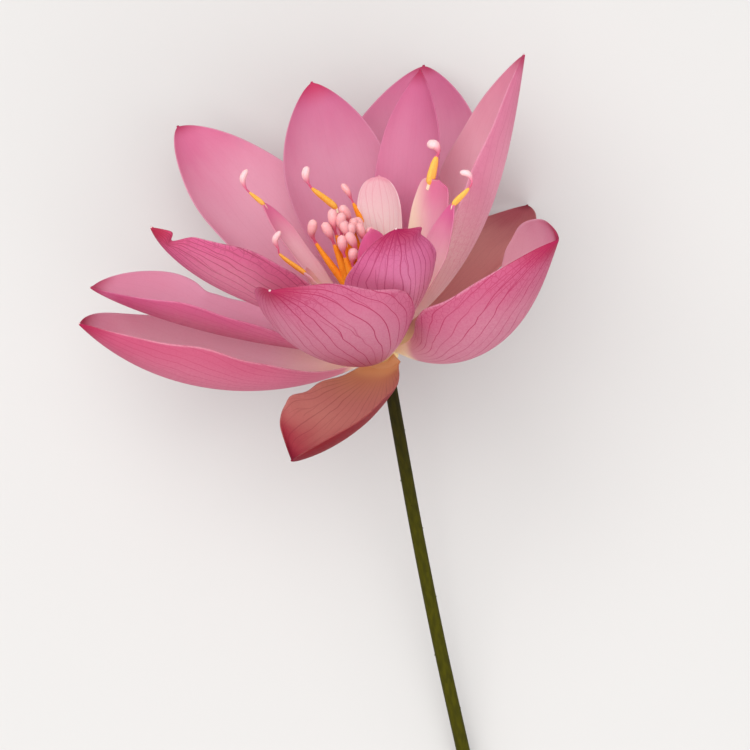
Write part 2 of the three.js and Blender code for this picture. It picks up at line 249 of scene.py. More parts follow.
def blade_object(name, petal, rows, columns, radius, material):
    """A closed blade. Its points carry the share along and across and the face, and the true measures."""
    even = np.linspace(0, 1, rows)
    t = (even + np.sin(np.pi / 2 * even)) / 2
    across = np.linspace(-1, 1, columns)
    s = np.sin(np.pi / 2 * across) * MARGIN_CROWDING + across * (1 - MARGIN_CROWDING)
    middle, half = blade_middle(petal, t, s[None, :], radius)
    shrink = np.linspace(1 - ROOT_SHARE, 1, ROOT_ROWS, endpoint=False)[:, None, None]
    lift = petal.get("root_lift", 0) * np.linspace(1, 0, ROOT_ROWS, endpoint=False)[:, None, None]
    root = np.concatenate([middle[:1, :, :2] * shrink, middle[:1, :, 2:] + lift], axis=-1)
    middle = np.concatenate([root, middle])
    half = np.concatenate([half[:1] * shrink[..., 0], half])
    t = np.concatenate([np.zeros(ROOT_ROWS), t])
    rows += ROOT_ROWS
    normal = grid_normals(middle)
    thin = np.clip((1.004 - t) * petal["long"] / TIP_TAPER, 0.1, 1)[:, None]
    thick = (BLADE_MARGIN + (BLADE_MIDDLE - BLADE_MARGIN) * (1 - s[None, :] ** 2)) * thin / 2
    inner, outer = middle + normal * thick[..., None], middle - normal * thick[..., None]
    edge = np.gradient(middle, axis=1)
    edge /= np.linalg.norm(edge, axis=-1, keepdims=True)
    left = middle[:, :1] - edge[:, :1] * thick[:, :1, None]
    right = middle[:, -1:] + edge[:, -1:] * thick[:, -1:, None]
    rings = np.concatenate([inner, right, outer[:, ::-1], left], axis=1)
    count = rings.shape[1]
    faces = []
    for i in range(rows - 1):
        faces += band(i * count, (i + 1) * count, count)
    for first, flip in ((0, False), ((rows - 1) * count, True)):
        for j in range(columns - 1):
            cap = [first + j, first + 2 * columns - j, first + 2 * columns - j - 1, first + j + 1]
            faces.append(tuple(cap[::-1] if flip else cap))
        for cap in ([first, first + 2 * columns + 1, first + 2 * columns],
                    [first + columns - 1, first + columns + 1, first + columns]):
            faces.append(tuple(cap[::-1] if flip else cap))
    made = new_object(name, to_world(rings.reshape(-1, 3)), faces, material)
    ring_s = np.concatenate([s, [1], s[::-1], [-1]])
    ring_face = np.concatenate([np.ones(columns), [0.5], np.zeros(columns), [0.5]])
    ring_half = np.concatenate([half, half[:, -1:], half[:, ::-1], half[:, :1]], axis=1)
    grid_t = np.repeat(t[:, None], count, axis=1)
    blade = np.stack([0 * grid_t + ring_s, grid_t, 0 * grid_t + ring_face], axis=-1)
    flat = np.stack([ring_half * ring_s, grid_t * petal["long"], ring_half], axis=-1)
    for label, values in (("blade", blade), ("flat", flat)):
        layer = made.data.attributes.new(label, "FLOAT_VECTOR", "POINT")
        layer.data.foreach_set("vector", values.ravel())
    return made


def calc(tree, operation, *values):
    return add_node(tree, "Math", dict(enumerate(values)), operation=operation).outputs[0]


def plus(tree, first, second):
    return calc(tree, "ADD", first, second)


def minus(tree, first, second):
    return calc(tree, "SUBTRACT", first, second)


def times(tree, first, second):
    return calc(tree, "MULTIPLY", first, second)


def over(tree, first, second):
    return calc(tree, "DIVIDE", first, second)


def rise(tree, value, start, end, low=0.0, high=1.0):
    """A smooth step from low to high as value goes from start to end."""
    inputs = {0: value, 1: start, 2: end, 3: low, 4: high}
    return add_node(tree, "MapRange", inputs, interpolation_type="SMOOTHSTEP").outputs[0]


def combined(tree, *values):
    return add_node(tree, "CombineXYZ", dict(enumerate(values))).outputs[0]


def separated(tree, vector):
    return add_node(tree, "SeparateXYZ", {0: vector}).outputs


def stored(tree, name, output):
    """A value that the mesh carries at its points."""
    return add_node(tree, "Attribute", attribute_name=name).outputs[output]


def noise(tree, place, scale, detail, **more):
    inputs = {"Vector": place, "Scale": scale, "Detail": detail, **more}
    return add_node(tree, "TexNoise", inputs).outputs["Fac"]


def add_bump(tree, shader, height, strength, depth):
    """Fine relief on a shader, up to a depth in millimetres."""
    bump = add_node(tree, "Bump", {"Height": height, "Strength": strength, "Distance": depth * MM})
    tree.links.new(bump.outputs["Normal"], shader.inputs["Normal"])


def new_group(name, inputs, outputs):
    """An empty shader node group with named sockets, and its two end nodes."""
    made = bpy.data.node_groups.new(name, "ShaderNodeTree")
    for label, kind, value in inputs:
        socket = made.interface.new_socket(name=label, in_out="INPUT", socket_type="NodeSocket" + kind)
        socket.default_value = value
    for label, kind in outputs:
        made.interface.new_socket(name=label, in_out="OUTPUT", socket_type="NodeSocket" + kind)
    return made, made.nodes.new("NodeGroupInput").outputs, made.nodes.new("NodeGroupOutput").inputs


VEIN_DRIFT = 1.6  # how far a vein strays over the whole length, in vein gaps
VEIN_STRETCH = 3.4  # the length between two kinks
FORK_SPREAD = 0.16  # the share of the length over which a fork opens by half a vein gap
NET_SCALE = 0.62
NET_FLATNESS = 0.7


def petal_veins():
    """Thin kinked veins that fan from the base towards the margins and fork there, and a fine net."""
    tree, given, result = new_group(
        "petal_veins",
        [("Blade", "Vector", (0, 0, 0)), ("Flat", "Vector", (0, 0, 0)), ("Count", "Float", 13.0),
         ("Spread", "Float", 0.8), ("Kink", "Float", 0.16), ("Seed", "Float", 0.0)],
        [("Veins", "Float"), ("Net", "Float")],
    )
    blade = separated(tree, given["Blade"])
    flat = separated(tree, given["Flat"])
    fan = calc(tree, "MULTIPLY_ADD", blade["Y"], given["Spread"], 0.7)
    spot = combined(tree, times(tree, blade["X"], 1.6), times(tree, flat["Y"], 0.04), given["Seed"])
    drift = noise(tree, spot, 1.0, 1.0)
    lane = over(tree, times(tree, blade["X"], over(tree, given["Count"], 2)), fan)
    lane = calc(tree, "MULTIPLY_ADD", minus(tree, drift, 0.5), VEIN_DRIFT, lane)
    number = calc(tree, "ROUND", lane)
    offset = minus(tree, lane, number)
    lane_width = times(tree, over(tree, times(tree, flat["Z"], 2), given["Count"]), fan)

    def chance(salt, step=0.0):
        """A value from 0 to 1 for each vein, and for each stretch of it."""
        place = combined(tree, calc(tree, "MULTIPLY_ADD", given["Seed"], 7.13, number), step, salt)
        return add_node(tree, "TexWhiteNoise", {"Vector": place}, noise_dimensions="3D").outputs["Value"]

    length = calc(tree, "MULTIPLY_ADD", chance(0.4), 9.0, over(tree, flat["Y"], VEIN_STRETCH))
    stretch = calc(tree, "FLOOR", length)
    share = calc(tree, "FRACT", length)
    first, last = chance(0.7, stretch), chance(0.7, plus(tree, stretch, 1))
    kink = plus(tree, times(tree, first, minus(tree, 1, share)), times(tree, last, share))
    kink = times(tree, minus(tree, kink, 0.5), given["Kink"])
    offset = minus(tree, offset, kink)
    distance = times(tree, calc(tree, "ABSOLUTE", offset), lane_width)
    strong = rise(tree, chance(0.2), 0.2, 0.5, 0.55, 1.0)
    lines = times(tree, rise(tree, distance, 0.04, 0.22, 1.0, 0.0), strong)
    for salt, side in ((1.3, 0.5), (2.6, -0.5)):
        fork = calc(tree, "MULTIPLY_ADD", chance(salt), 0.7, 0.5)
        bend = times(tree, over(tree, minus(tree, blade["Y"], fork), FORK_SPREAD), side)
        apart = calc(tree, "ABSOLUTE", minus(tree, offset, bend))
        branch = rise(tree, times(tree, apart, lane_width), 0.03, 0.18, 0.7, 0.0)
        branch = times(tree, branch, calc(tree, "GREATER_THAN", blade["Y"], fork))
        lines = calc(tree, "MAXIMUM", lines, branch)
    tree.links.new(lines, result["Veins"])
    cells = combined(tree, flat["X"], times(tree, flat["Y"], NET_FLATNESS), times(tree, given["Seed"], 5.0))
    edge = add_node(tree, "TexVoronoi", {"Vector": cells, "Scale": NET_SCALE}, feature="DISTANCE_TO_EDGE",
                    voronoi_dimensions="3D").outputs["Distance"]
    tree.links.new(rise(tree, edge, 0.01, 0.08, 1.0, 0.0), result["Net"])
    return tree


# The pinks of the two faces and of their margins, and the colours of base, tip and veins, from 0 to 255.
PETAL_FINISH = {
    "Inner": (242, 182, 204), "Inner deep": (230, 130, 170), "Outer": (226, 150, 174),
    "Outer deep": (216, 98, 148), "Base": (254, 238, 208), "Tip": (182, 30, 78), "Vein": (180, 34, 90),
}


def petal_colour():
    """Cream at the base, through the blade's own pink to a deeper margin and tip, with its veins, and a
    painted highlight along the very rim.
    """
    tree, given, result = new_group(
        "petal_colour",
        [(label, "Color", (1, 1, 1, 1)) for label in PETAL_FINISH]
        + [("Inner cream", "Float", 24.0), ("Outer cream", "Float", 9.0), ("Side cream", "Float", 0.0),
           ("Cream lean", "Float", 0.0), ("Inner veins", "Float", 0.05), ("Outer veins", "Float", 0.6),
           ("Net strength", "Float", 0.5), ("Vein count", "Float", 17.0), ("Spread", "Float", 0.8),
           ("Kink", "Float", 0.16), ("Seed", "Float", 0.0), ("Tip reach", "Float", 6.0),
           ("Pale point", "Float", 0.0)],
        [("Color", "Color"), ("Roughness", "Float"), ("Relief", "Float")],
    )
    blade_vector = stored(tree, "blade", "Vector")
    flat_vector = stored(tree, "flat", "Vector")
    blade = separated(tree, blade_vector)
    flat = separated(tree, flat_vector)
    veins = add_node(tree, "Group", {"Blade": blade_vector, "Flat": flat_vector, "Count": given["Vein count"],
                                     "Spread": given["Spread"], "Kink": given["Kink"],
                                     "Seed": given["Seed"]}, node_tree=vein_group).outputs
    layer = calc(tree, "MULTIPLY_ADD", given["Seed"], 3.7, blade["Z"])
    spot = combined(tree, flat["X"], times(tree, flat["Y"], 0.45), layer)
    blush = noise(tree, spot, 0.11, 3.0)
    speckle = noise(tree, spot, 2.2, 4.0, Roughness=0.75)
    shift = minus(tree, blush, 0.5)
    t = calc(tree, "MULTIPLY_ADD", shift, 0.2, blade["Y"])
    rim = calc(tree, "ABSOLUTE", blade["X"])
    inside = rise(tree, blade["Z"], 0.3, 0.7)
    outside = minus(tree, 1, inside)
    to_tip = rise(tree, t, 0.6, 1.0)
    to_rim = times(tree, rise(tree, rim, 0.4, 1.0), rise(tree, t, 0.1, 0.5))
    to_rim = times(tree, to_rim, calc(tree, "MULTIPLY_ADD", outside, 0.6, 0.15))
    margin = minus(tree, plus(tree, to_tip, to_rim), times(tree, to_tip, to_rim))
    inner = mixed(tree, margin, given["Inner"], given["Inner deep"])
    outer = mixed(tree, margin, given["Outer"], given["Outer deep"])
    from_base = calc(tree, "MULTIPLY_ADD", shift, 8.0, flat["Y"])
    from_base = minus(tree, from_base, times(tree, rim, given["Side cream"]))
    from_base = minus(tree, from_base, times(tree, blade["X"], given["Cream lean"]))
    full = times(tree, given["Inner cream"], 0.1)
    inner_base = rise(tree, from_base, full, given["Inner cream"], 1.0, 0.0)
    full = times(tree, given["Outer cream"], 0.3)
    outer_base = rise(tree, from_base, full, given["Outer cream"], 1.0, 0.0)
    inner = mixed(tree, inner_base, inner, given["Base"])
    outer = mixed(tree, outer_base, outer, given["Base"])
    skin = mixed(tree, inside, outer, inner)
    # Painted highlight: the outermost strip of the rim is paled towards the inner pink, standing in for light
    # shining through the thin margin.
    skin = mixed(tree, rise(tree, rim, 0.965, 1.0, 0.0, 0.35), skin, given["Inner"])
    grain = times(tree, rise(tree, speckle, 0.4, 0.62), calc(tree, "MULTIPLY_ADD", outside, 0.36, 0.05))
    skin = mixed(tree, times(tree, grain, rise(tree, from_base, 8.0, 26.0)), skin, given["Outer deep"])
    long = over(tree, flat["Y"], calc(tree, "MAXIMUM", blade["Y"], 0.01))
    end = minus(tree, long, flat["Y"])
    upper = calc(tree, "GREATER_THAN", blade["Y"], 0.4)
    tip = rise(tree, calc(tree, "MULTIPLY_ADD", shift, 5.0, end), 0.0, given["Tip reach"], 0.92, 0.0)
    tip = times(tree, calc(tree, "POWER", tip, 1.3), upper)
    skin = mixed(tree, tip, skin, given["Tip"])
    strength = times(tree, inside, given["Inner veins"])
    strength = plus(tree, strength, times(tree, outside, given["Outer veins"]))
    fading = times(tree, rise(tree, flat["Y"], 5.0, 22.0), rise(tree, blush, 0.3, 0.6, 0.7, 1.0))
    net_place = calc(tree, "MAXIMUM", rise(tree, rim, 0.7, 0.97), rise(tree, t, 0.7, 0.95))
    net = times(tree, veins["Net"], given["Net strength"])
    net = times(tree, net, calc(tree, "MULTIPLY_ADD", net_place, 0.6, 0.1))
    lines = calc(tree, "MAXIMUM", veins["Veins"], net)
    inked = times(tree, times(tree, lines, strength), fading)
    skin = mixed(tree, inked, skin, given["Vein"])
    pale = times(tree, rise(tree, end, 0.1, 0.34, 1.0, 0.0), given["Pale point"])
    pale = times(tree, pale, upper)
    skin = mixed(tree, pale, skin, colour(250, 226, 226))
    tree.links.new(skin, result["Color"])
    tree.links.new(rise(tree, speckle, 0.2, 0.8, 0.45, 0.6), result["Roughness"])
    ridges = times(tree, lines, times(tree, strength, -0.25))
    tree.links.new(calc(tree, "MULTIPLY_ADD", speckle, 0.5, ridges), result["Relief"])
    return tree


vein_group = petal_veins()
colour_group = petal_colour()

PETAL_LIGHT_THROUGH = 0.42  # the share of the light that shines through a blade


def petal_finish(name, **values):
    """A petal's material. Each petal has its own pinks, cream base and veins."""
    made, tree, shader = new_material(name)
    inputs = {label: colour(*value) if isinstance(value, tuple) else value
              for label, value in {**PETAL_FINISH, **values}.items()}
    skin = add_node(tree, "Group", inputs, node_tree=colour_group).outputs
    tree.links.new(skin["Color"], shader.inputs["Base Color"])
    tree.links.new(skin["Roughness"], shader.inputs["Roughness"])
    add_bump(tree, shader, skin["Relief"], 0.3, 0.15)
    shader.inputs["Specular IOR Level"].default_value = 0.25
    lit = add_node(tree, "Gamma", {"Color": skin["Color"], "Gamma": 0.6}).outputs[0]
    glow = add_node(tree, "BsdfTranslucent", {"Color": lit})
    both = add_node(tree, "MixShader", {0: PETAL_LIGHT_THROUGH, 1: shader.outputs[0], 2: glow.outputs[0]})
    tree.links.new(both.outputs[0], tree.nodes["Material Output"].inputs["Surface"])
    return made


# Each petal's shape: bearing, opening, twist and roll of its width at the base, the middle and the tip,
# its size, and high, its place on the receptacle. belly is where it is widest. A notch in its margin is
# given by its share of the length, its side, its extent along and its depth, both as shares.
PETALS = {
    "outer_left": dict(turn=(268, 268, 270), lean=(105, 67, 28), twist=(10, 25, 20), cup=(45, 68, 50),
                       long=91, wide=54, high=0.5, belly=0.58, point=0.62, foot=2.6, skew=0.3),
    "outer_front": dict(turn=(199, 212, 257), lean=(80, 92, 96), twist=(0, 3, 8), cup=(40, 54, 52),
                        long=53, wide=38.5, high=-1.3, belly=0.74, point=0.56, foot=6, shoulder=1.6,
                        root_lift=1.6, notches=((0.5, 1, 0.08, 0.05), (0.76, 1, 0.11, 0.08),
                                                (0.95, 1, 0.06, -0.16), (0.9, -1, 0.08, -0.05))),
    "outer_back_right": dict(turn=(38, 38, 38), lean=(84, 87.3, 84), cup=(40, 45, 40),
                             long=83, wide=34, high=0.4, skew=0.2),
    "outer_back_left": dict(turn=(337, 337, 337), lean=(84, 78, 70), cup=(40, 45, 40),
                            long=78, wide=32, high=-0.8),
    "second_left": dict(turn=(286, 285, 284), lean=(82, 68, 54), twist=(15, 20, 10), cup=(45, 55, 45),
                        long=84, wide=44, high=2.1, belly=0.66, point=0.7, foot=2.8, shoulder=1.7,
                        skew=0.08, notches=((0.58, 1, 0.16, 0.2), (0.62, 1, 0.03, 0.06))),
    "second_right": dict(turn=(126, 128, 131), lean=(113, 48.5, 31), twist=(-32, -8, 10), cup=(58, 85, 65),
                         long=80, wide=62, high=2, belly=0.52, point=0.52, foot=4.5, shoulder=0.9,
                         skew=-0.05),
    "second_front": dict(turn=(206, 208, 211), lean=(76, 43, 28), cup=(50, 70, 58),
                         long=74, wide=56, high=2.3, belly=0.5, point=0.7, foot=4.2, skew=-0.08,
                         notches=((0.74, -1, 0.08, 0.06), (0.9, -1, 0.04, -0.08))),
    "third_back_left": dict(turn=(325, 325, 324), lean=(66, 53, 38), cup=(40, 45, 35),
                            long=94, wide=38, high=3, belly=0.6, point=0.65, foot=2.8, shoulder=1.7,
                            skew=0.1),
    "third_back_right": dict(turn=(21, 21, 22.5), lean=(78, 60, 37), cup=(40, 45, 40),
                             long=99, wide=50, high=4.4, belly=0.62, point=0.7, foot=2.8, shoulder=1.8),
    "third_left": dict(turn=(254, 254, 255), lean=(46, 46, 23), twist=(15, 30, 35), cup=(40, 55, 50),
                       long=78, wide=33, high=5.6, belly=0.52, shoulder=1.7,
                       notches=((0.91, -1, 0.02, 0.7),)),
    "inner_back": dict(turn=(357, 357, 357), lean=(52, 43, 28), cup=(40, 45, 40),
                       long=80.5, wide=34, high=6.5, belly=0.6, point=0.7),
    "inner_back_right": dict(turn=(37, 37, 37), lean=(44, 34, 28), cup=(40, 50, 40),
                             long=74.5, wide=25, high=8.6, belly=0.6, skew=0.12),
    "inner_right": dict(turn=(74, 62, 57), lean=(77, 38, 28), twist=(-25, -25, -28), cup=(45, 60, 55),
                        long=90, wide=54, high=7.4, belly=0.48, shoulder=1.05, skew=0.08),
    "inner_front": dict(turn=(162, 167, 174), lean=(50, 37, 14), cup=(50, 55, 40),
                        long=62.5, wide=31, high=6.5, point=0.7, skew=0.06,
                        notches=((0.93, -1, 0.03, -0.5),)),
}
# Duller, browner pinks for the two low outer petals: partly their own older colour, and partly painted shade,
# as these petals lie in the flower's shade.
AGED_AND_SHADED = {
    "Inner": (246, 182, 172), "Inner deep": (196, 98, 110), "Outer": (176, 78, 88),
    "Outer deep": (160, 46, 62), "Base": (250, 224, 180), "Tip": (140, 26, 52), "Vein": (140, 38, 60),
}
FINISHES = {
    "outer_left": {
        "Inner": (255, 230, 238), "Inner deep": (250, 196, 216), "Outer": (216, 128, 154),
        "Outer deep": (204, 90, 126), "Inner cream": 32.0, "Outer veins": 0.35, "Vein count": 20.0,
        "Tip reach": 11.0, "Pale point": 1.0,
    },
    # Darker still, partly as painted shade: this petal hangs forward and down in the shade under the flower.
    "outer_front": {
        **AGED_AND_SHADED, "Inner": (214, 146, 134), "Inner deep": (180, 60, 78), "Outer": (158, 34, 46),
        "Outer deep": (144, 24, 38), "Base": (242, 190, 146), "Inner cream": 28.0, "Inner veins": 0.4,
        "Tip reach": 4.0,
    },
    "outer_back_right": {**AGED_AND_SHADED, "Inner cream": 26.0, "Inner veins": 0.1},
    "second_left": {
        "Inner": (240, 182, 206), "Inner deep": (238, 164, 190), "Outer veins": 0.35, "Tip reach": 7.0,
        "Pale point": 1.0,
    },
    "second_right": {
        "Inner": (254, 216, 228), "Inner deep": (240, 170, 196), "Outer": (216, 146, 168),
        "Outer deep": (204, 96, 136), "Inner cream": 34.0, "Outer veins": 0.9, "Net strength": 0.8,
        "Vein count": 20.0, "Tip reach": 10.0,
    },
    "second_front": {
        "Outer": (218, 150, 172), "Outer deep": (212, 112, 150), "Outer cream": 15.0, "Side cream": 4.0,
        "Outer veins": 0.9, "Net strength": 0.7, "Vein count": 20.0, "Tip reach": 12.0, "Pale point": 1.0,
    },
    "third_back_left": {"Inner": (242, 186, 206)},
    "third_back_right": {"Inner": (238, 172, 198), "Inner deep": (218, 124, 164)},
    "third_left": {
        "Outer": (218, 138, 162), "Tip": (200, 26, 70), "Vein": (146, 46, 68), "Outer veins": 0.7,
        "Net strength": 0.8, "Kink": 0.3, "Tip reach": 13.0, "Pale point": 1.0,
    },
    "inner_back": {
        "Inner": (228, 164, 190), "Inner deep": (216, 120, 162), "Tip": (206, 44, 96), "Tip reach": 9.0,
    },
    "inner_back_right": {"Inner": (226, 148, 182), "Inner deep": (214, 114, 158)},
    "inner_right": {
        "Inner": (244, 200, 212), "Inner deep": (228, 148, 174), "Outer": (246, 176, 198),
        "Outer deep": (226, 134, 168), "Base": (255, 240, 234), "Inner cream": 66.0, "Outer cream": 46.0,
        "Cream lean": 8.0, "Outer veins": 0.3, "Tip reach": 7.0, "Pale point": 1.0,
    },
    "inner_front": {
        "Outer": (226, 146, 184), "Outer deep": (222, 120, 170), "Base": (255, 222, 228),
        "Vein": (172, 26, 90), "Outer cream": 44.0, "Outer veins": 0.8, "Net strength": 0.8, "Kink": 0.26,
        "Tip reach": 13.0, "Pale point": 1.0,
    },
}

for seed, (name, petal) in enumerate(PETALS.items()):
    finish = petal_finish("petal_finish_" + name, Seed=float(seed), **FINISHES.get(name, {}))
    made = blade_object("fine_petal_" + name, petal, PETAL_ROWS, PETAL_COLUMNS, ATTACHMENT_RADIUS, finish)
    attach(made, "root")
    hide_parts("petal_" + name)

# ---------- the petaloids ----------
# Stamens whose stalk has broadened into a narrow petal, cream and pink and thinner than a petal. Six of
# them keep an anther, the yellow pollen sac, and beyond it the pale club that ends every lotus stamen.

PETALOID_ROWS = 60
PETALOID_COLUMNS = 24
PETALOID_RADIUS = 5.1
ANTHER_ROOT = 0.04  # the share of the blade in which the anther is rooted
STRETCH_STEPS = 12
ROUND_SIDES = 16
CREAM = colour(246, 226, 196)


def smooth_run(points, steps):
    """A smooth run through points, and for each of its places the stretch it is on, from 0 upwards."""
    points = np.asarray(points, float)
    around = np.vstack([2 * points[0] - points[1], points, 2 * points[-1] - points[-2]])
    gaps = np.sqrt(np.linalg.norm(np.diff(around, axis=0), axis=1))
    run, stretch = [], []
    for i in range(len(points) - 1):
        before, start, end, after = around[i : i + 4]
        gap_in, gap, gap_out = gaps[i : i + 3]
        leaving = (start - before) / gap_in - (end - before) / (gap_in + gap) + (end - start) / gap
        arriving = (end - start) / gap - (after - start) / (gap + gap_out) + (after - end) / gap_out
        for share in np.linspace(0, 1, steps, endpoint=i == len(points) - 2):
            square, cube = share**2, share**3
            run.append((2 * cube - 3 * square + 1) * start + (cube - 2 * square + share) * gap * leaving
                       + (3 * square - 2 * cube) * end + (cube - square) * gap * arriving)
            stretch.append(i + share)
    return np.array(run), np.array(stretch)


def fan(centre, first, sides):
    """The faces between a ring, given by the number of its first point, and the point in its middle."""
    return [(centre, first + k, first + (k + 1) % sides) for k in range(sides)]


def round_rod(run, radii, sides, section=None):
    """The points and faces of a closed rod along a run. section gives its radius by angle as a share."""
    along = np.gradient(run, axis=0)
    along /= np.linalg.norm(along, axis=1, keepdims=True)
    spoke = np.cross(along[0], [0.31, 0.42, 0.85])
    angles = 2 * np.pi * np.arange(sides) / sides
    rings = []
    for place, forward, radius in zip(run, along, radii):
        spoke = spoke - forward * spoke.dot(forward)
        spoke /= np.linalg.norm(spoke)
        across = np.cross(forward, spoke)
        reach = radius * (section(angles) if section else np.ones(sides))
        spokes = np.outer(np.cos(angles), spoke) + np.outer(np.sin(angles), across)
        rings.append(place + reach[:, None] * spokes)
    points = np.concatenate(rings + [run[:1], run[-1:]])
    last = (len(run) - 1) * sides
    faces = []
    for i in range(len(run) - 1):
        faces += band(i * sides, (i + 1) * sides, sides)
    faces += [face[::-1] for face in fan(len(points) - 2, 0, sides)]
    faces += fan(len(points) - 1, last, sides)
    return points, faces


def two_sacs(angles):
    return 1 + 0.16 * np.cos(2 * angles) - 0.05 * np.cos(4 * angles)


ORGAN_RADII = {  # by the organ's own share: filament, anther, neck, club
    0: [(0, 0.5), (0.8, 0.5), (1, 0.55)],
    1: [(0, 0.55), (0.1, 0.9), (0.35, 1.0), (0.7, 0.8), (0.93, 0.5), (1, 0.36)],
    2: [(0, 0.36), (0.5, 0.3), (1, 0.36)],
    3: [(0, 0.36), (0.15, 0.62), (0.35, 1.0), (0.6, 1.2), (0.82, 1.08), (0.94, 0.72), (1, 0.1)],
}


def organ_radius(stretch):
    """The radius at each place of a stamen: filament from 0, anther from 1, neck from 2, club from 3."""
    radii = []
    for value in stretch:
        organ = min(int(value), 3)
        shares, sizes = zip(*ORGAN_RADII[organ])
        radii.append(np.interp(value - organ, shares, sizes))
    return np.array(radii)


def stamen_finish(name, anther, pollen_dust, club_low, club_high):
    """Cream filament, yellow to orange anther dusted with pollen, pink neck and a pearly pale club."""
    made, tree, shader = new_material(name)
    organ = stored(tree, "organ", "Fac")
    place = add_node(tree, "TexCoord").outputs["Object"]
    pollen = noise(tree, place, 2600.0, 3.0)
    patch = noise(tree, place, 190.0, 2.0)
    anther = mixed(tree, rise(tree, patch, 0.35, 0.65, 0.0, 0.6), anther, pollen_dust)
    anther = mixed(tree, rise(tree, pollen, 0.35, 0.7, 0.0, 0.6), anther, pollen_dust)
    club = mixed(tree, rise(tree, organ, 3.05, 3.6), club_low, club_high)
    skin = mixed(tree, rise(tree, organ, 0.9, 1.0), CREAM, anther)
    skin = mixed(tree, rise(tree, organ, 1.96, 2.05), skin, colour(206, 84, 120))
    skin = mixed(tree, rise(tree, organ, 2.7, 3.05), skin, club)
    tree.links.new(skin, shader.inputs["Base Color"])
    dusty = times(tree, rise(tree, organ, 0.9, 1.0), rise(tree, organ, 1.96, 2.05, 1.0, 0.0))
    tree.links.new(rise(tree, dusty, 0.0, 1.0, 0.4, 0.8), shader.inputs["Roughness"])
    add_bump(tree, shader, times(tree, pollen, dusty), 0.6, 0.15)
    shader.inputs["Subsurface Weight"].default_value = 0.25
    shader.inputs["Subsurface Radius"].default_value = (1.0, 0.5, 0.35)
    shader.inputs["Subsurface Scale"].default_value = 0.001
    return made


def stamen_object(name, runs, girth, finish):
    """One object of stamens, each given as its run and the stretch that each place of it is on."""
    points, faces, organs = [], [], []
    count = 0
    for run, stretch in runs:
        radii = organ_radius(stretch) * girth
        plain, rod_faces = round_rod(run, radii, ROUND_SIDES)
        with_sacs, _ = round_rod(run, radii, ROUND_SIDES, two_sacs)
        organ = np.concatenate([np.repeat(stretch, ROUND_SIDES), [stretch[0], stretch[-1]]])
        on_anther = (organ > 1) & (organ < 2)
        points.append(np.where(on_anther[:, None], with_sacs, plain))
        faces += [tuple(index + count for index in face) for face in rod_faces]
        organs.append(organ)
        count += len(plain)
    made = new_object(name, to_world(np.concatenate(points)), faces, finish)
    layer = made.data.attributes.new("organ", "FLOAT", "POINT")
    layer.data.foreach_set("value", np.concatenate(organs))
    return made


yellow_stamen = stamen_finish("yellow_stamen", colour(240, 162, 34), colour(252, 196, 96),
                              colour(216, 112, 144), colour(244, 198, 200))
orange_stamen = stamen_finish("orange_stamen", colour(248, 142, 4), colour(255, 172, 40),
                              colour(212, 100, 128), colour(240, 178, 180))

# Each petaloid's blade is given like a petal's, with one bearing. leaves is where its anther leaves the
# blade; anther, neck and club are then steps to the right, up and forward in the scene, in millimetres.
PETALOIDS = {
    "petaloid_tall_right": dict(turn=82, lean=28, long=44, wide=13.5, high=10.6, twist=30, point=0.12,
                                leaves=(0.95, -0.55), anther=(2.0, 7.6, 1.5), neck=(0.5, 0.9, 0.3),
                                club=((-0.9, 2.2, 0.5), (-2.4, 0.4, 0.3)), girth=1.2),
    "petaloid_right": dict(turn=114, lean=33, long=46, wide=10, high=10.2, twist=50, belly=0.55, shoulder=1,
                           leaves=(0.98, 0), anther=(4.3, 4.6, 1.5), neck=(0.8, 1.6, 0.4),
                           club=((-1.0, 2.2, 0.4), (-2.4, 0.5, 0.2)), girth=0.78),
    "petaloid_cream": dict(turn=33, lean=17.5, long=41, wide=15, high=11, twist=0, point=0.34, belly=0.76,
                           leaves=(0.66, -0.9), anther=(-2.6, 5.8, 1.0), neck=(-0.6, 1.2, 0.3),
                           club=((-1.1, 2.2, 0.6), (-1.6, 2.0, 0.4)), girth=0.82),
    "petaloid_low": dict(turn=160, lean=9, long=35, wide=11, high=11, twist=0),
    "petaloid_left_long": dict(turn=304, lean=32, long=46, wide=8, high=10.6, twist=0, leaves=(0.98, 0),
                               anther=(-4.1, 3.5, 1.0), neck=(-1.0, 1.1, 0.3),
                               club=((-0.9, 2.6, 0.5), (1.3, 2.8, 0.3)), girth=0.8),
    "petaloid_left_short": dict(turn=264, lean=28, long=26, wide=10.5, high=10.8, twist=0, point=0.2,
                                leaves=(0.95, 0), anther=(-7.5, 5.8, 1.0), neck=(-0.3, 1.4, 0.3),
                                club=((-0.9, 2.4, 0.5), (1.6, 2.5, 0.3)), girth=0.78),
    "petaloid_back_left": dict(turn=345, lean=20, long=34.5, wide=5, high=11, twist=0, leaves=(0.97, 0),
                               anther=(-7.0, 5.8, 1.0), neck=(-0.9, 1.2, 0.3),
                               club=((-0.9, 2.4, 0.5), (0.6, 2.6, 0.3)), girth=1.0),
}
PETALOID_FINISH = {
    "Inner": (250, 200, 216), "Inner deep": (238, 142, 182), "Outer": (248, 190, 208),
    "Outer deep": (234, 130, 174), "Base": (255, 242, 218), "Tip": (234, 124, 168), "Vein": (206, 90, 132),
    "Inner cream": 26.0, "Outer cream": 20.0, "Vein count": 6.0, "Outer veins": 0.2, "Tip reach": 2.0,
}
